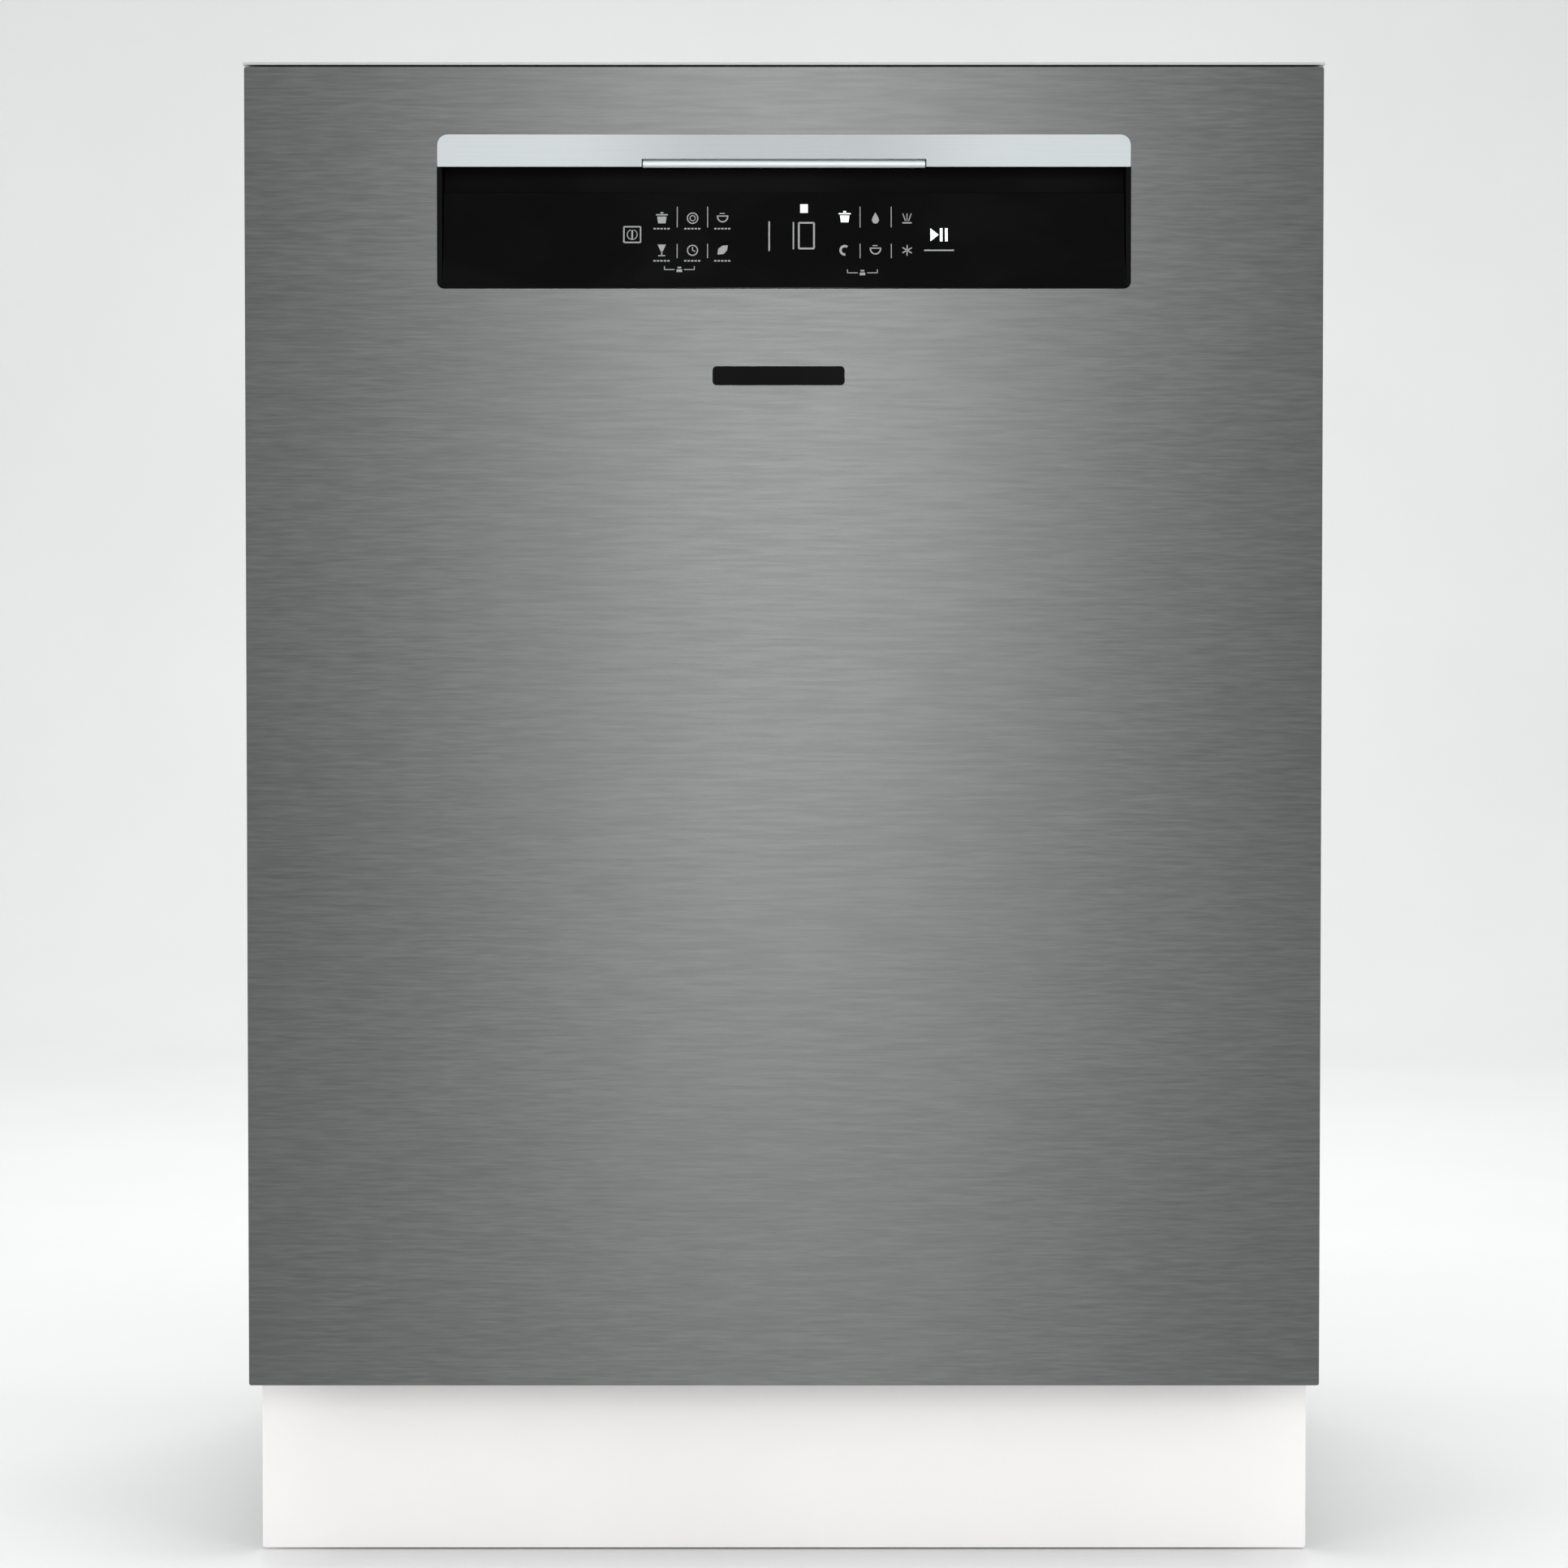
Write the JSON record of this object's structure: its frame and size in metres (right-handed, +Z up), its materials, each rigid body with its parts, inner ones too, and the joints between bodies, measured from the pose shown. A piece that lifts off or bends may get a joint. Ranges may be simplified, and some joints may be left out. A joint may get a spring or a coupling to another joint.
{
  "type": "built-in dishwasher",
  "caption": "Built-under dishwasher with a bottom-hinged steel door, hand pocket and touch controls, two sliding racks, spray arms, filters, salt and detergent fillers, and levelling feet.",
  "frame": {"origin": "on the floor, under the middle of the machine's outside box", "axes": "+X to the right seen from the front, +Y to the back, +Z up; the door faces -Y"},
  "size_m": [0.598, 0.57, 0.838],
  "materials": {
    "door_steel": "horizontal brushed, satin",
    "liner_steel": "satin",
    "silver_trim": "satin",
    "black_gloss": "gloss",
    "black_plastic": "matte",
    "white_enamel": "satin",
    "zinc_sheet": "satin",
    "screw_steel": "satin",
    "base_grey": "matte",
    "felt": "felt",
    "bitumen": "matte",
    "seal_rubber": "matte",
    "foot_plastic": "matte",
    "pump_plastic": "matte",
    "heater_steel": "satin",
    "clear_white": "satin",
    "board_green": "satin",
    "filter_grey": "matte",
    "filter_steel": "satin",
    "cap_white": "satin",
    "arm_grey": "satin",
    "dispenser_grey": "satin",
    "rack_nylon": "nylon coated",
    "basket_grey": "satin",
    "slide_steel": "satin"
  },
  "bodies": {
    "cabinet": {"tub": "liner_steel", "tub_gasket": "seal_rubber", "side_panel_left": "zinc_sheet", "side_panel_right": "zinc_sheet", "top_cover": "white_enamel", "back_panel": "zinc_sheet", "base_tray": "base_grey", "kick_plate": "white_enamel", "sound_blanket": "felt", "sump": "base_grey", "filter_plate": "filter_steel", "circulation_pump": "pump_plastic", "drain_pump": "pump_plastic", "flow_heater": "heater_steel", "base_hoses": "seal_rubber", "water_softener": "clear_white", "air_gap_unit": "clear_white", "inlet_valve": "pump_plastic", "drain_spigot": "pump_plastic", "cord_gland": "foot_plastic", "power_board": "board_green", "riser_duct": "arm_grey", "hinge_brackets": "zinc_sheet", "door_springs": "screw_steel", "latch_striker": "screw_steel", "upper_rails": "base_grey", "cabinet_screws": "screw_steel"},
    "foot_front_left": {"foot_front_left": "foot_plastic"},
    "foot_front_right": {"foot_front_right": "foot_plastic"},
    "foot_rear_left": {"foot_rear_left": "foot_plastic"},
    "foot_rear_right": {"foot_rear_right": "foot_plastic"},
    "filter": {"filter_cylinder": "filter_grey"},
    "salt_cap": {"salt_cap": "cap_white"},
    "lower_arm": {"lower_spray_arm": "arm_grey"},
    "ceiling_arm": {"ceiling_spray_arm": "arm_grey"},
    "door": {"door_outer_panel": "door_steel", "door_inner_liner": "liner_steel", "door_sound_pad": "bitumen", "handle_housing": "black_plastic", "control_fascia": "black_gloss", "grip_strip": "silver_trim", "display_board": "board_green", "hinge_arms": "zinc_sheet", "door_screws": "screw_steel", "dispenser_housing": "dispenser_grey", "door_bottom_seal": "seal_rubber"},
    "latch_lever": {"latch_lever": "silver_trim"},
    "latch_hook": {"latch_hook": "screw_steel"},
    "detergent_lid": {"detergent_lid": "dispenser_grey"},
    "rinse_aid_cap": {"rinse_aid_cap": "filter_grey"},
    "lower_rack": {"lower_rack": "rack_nylon", "cutlery_basket": "basket_grey"},
    "tines_front": {"tines_front": "rack_nylon"},
    "tines_rear": {"tines_rear": "rack_nylon"},
    "wheels_front": {"wheels_front": "basket_grey"},
    "wheels_rear": {"wheels_rear": "basket_grey"},
    "upper_rack": {"upper_rack": "rack_nylon", "upper_feed_pipe": "arm_grey"},
    "upper_arm": {"upper_spray_arm": "arm_grey"},
    "rail_slides": {"rail_slides": "slide_steel"}
  },
  "joints": [
    {"name": "door_open", "type": "hinge", "parent": "cabinet", "child": "door", "pos_m": [0, -0.262, 0.128], "axis": [1, 0, 0], "range_deg": [0, 90], "stiffness_Nm_per_rad": 17, "deforming": ["door_springs"]},
    {"name": "lower_rack_slide", "type": "slide", "parent": "cabinet", "child": "lower_rack", "axis": [0, -1, 0], "range_m": [0, 0.176]},
    {"name": "upper_rack_slide", "type": "slide", "parent": "cabinet", "child": "upper_rack", "axis": [0, -1, 0], "range_m": [0, 0.45]},
    {"name": "rail_slides_slide", "type": "slide", "parent": "cabinet", "child": "rail_slides", "axis": [0, -1, 0], "range_m": [0, 0.225]},
    {"name": "wheels_front_roll", "type": "hinge", "parent": "lower_rack", "child": "wheels_front", "pos_m": [0, -0.12, 0.1722], "axis": [1, 0, 0], "range_deg": [0, 600]},
    {"name": "wheels_rear_roll", "type": "hinge", "parent": "lower_rack", "child": "wheels_rear", "pos_m": [0, 0.15, 0.1722], "axis": [1, 0, 0], "range_deg": [0, 600]},
    {"name": "tines_front_fold", "type": "hinge", "parent": "lower_rack", "child": "tines_front", "pos_m": [0, 0.04, 0.212], "axis": [1, 0, 0], "range_deg": [0, 85]},
    {"name": "tines_rear_fold", "type": "hinge", "parent": "lower_rack", "child": "tines_rear", "pos_m": [0, 0.15, 0.212], "axis": [1, 0, 0], "range_deg": [0, 85]},
    {"name": "upper_arm_spin", "type": "hinge", "parent": "upper_rack", "child": "upper_arm", "pos_m": [0, 0.005, 0.448], "axis": [0, 0, 1], "continuous": true},
    {"name": "lower_arm_spin", "type": "hinge", "parent": "cabinet", "child": "lower_arm", "pos_m": [0, 0.005, 0.18], "axis": [0, 0, 1], "continuous": true},
    {"name": "ceiling_arm_spin", "type": "hinge", "parent": "cabinet", "child": "ceiling_arm", "pos_m": [0, 0.005, 0.787], "axis": [0, 0, 1], "continuous": true},
    {"name": "filter_twist", "type": "hinge", "parent": "cabinet", "child": "filter", "pos_m": [0.075, -0.075, 0.154], "axis": [0, 0, 1], "range_deg": [0, 90]},
    {"name": "salt_cap_turn", "type": "hinge", "parent": "cabinet", "child": "salt_cap", "pos_m": [-0.165, 0.075, 0.154], "axis": [0, 0, 1], "range_deg": [0, 360]},
    {"name": "latch_lever_pull", "type": "hinge", "parent": "door", "child": "latch_lever", "pos_m": [0, -0.2823, 0.795], "axis": [-1, 0, 0], "range_deg": [0, 10], "stiffness_Nm_per_rad": 0.6},
    {"name": "latch_hook_lift", "type": "hinge", "parent": "door", "child": "latch_hook", "pos_m": [0, -0.252, 0.824], "axis": [1, 0, 0], "range_deg": [0, 10]},
    {"name": "detergent_lid_slide", "type": "slide", "parent": "door", "child": "detergent_lid", "axis": [0, 0, 1], "range_m": [0, 0.06]},
    {"name": "rinse_aid_cap_turn", "type": "hinge", "parent": "door", "child": "rinse_aid_cap", "pos_m": [0.046, -0.238, 0.455], "axis": [0, 1, 0], "range_deg": [0, 90]},
    {"name": "foot_front_left_screw", "type": "slide", "parent": "cabinet", "child": "foot_front_left", "axis": [0, 0, -1], "range_m": [0, 0.032]},
    {"name": "foot_front_right_screw", "type": "slide", "parent": "cabinet", "child": "foot_front_right", "axis": [0, 0, -1], "range_m": [0, 0.032]},
    {"name": "foot_rear_left_screw", "type": "slide", "parent": "cabinet", "child": "foot_rear_left", "axis": [0, 0, -1], "range_m": [0, 0.032]},
    {"name": "foot_rear_right_screw", "type": "slide", "parent": "cabinet", "child": "foot_rear_right", "axis": [0, 0, -1], "range_m": [0, 0.032]}
  ],
  "couplings": [
    {"joint": "lower_rack_slide", "follows": "door_open", "m_per_rad": 0.112},
    {"joint": "upper_rack_slide", "follows": "door_open", "m_per_rad": 0.286},
    {"joint": "rail_slides_slide", "follows": "door_open", "m_per_rad": 0.143},
    {"joint": "wheels_front_roll", "follows": "door_open", "ratio": 6.588},
    {"joint": "wheels_rear_roll", "follows": "door_open", "ratio": 6.588},
    {"joint": "latch_hook_lift", "follows": "latch_lever_pull", "ratio": 1}
  ]
}
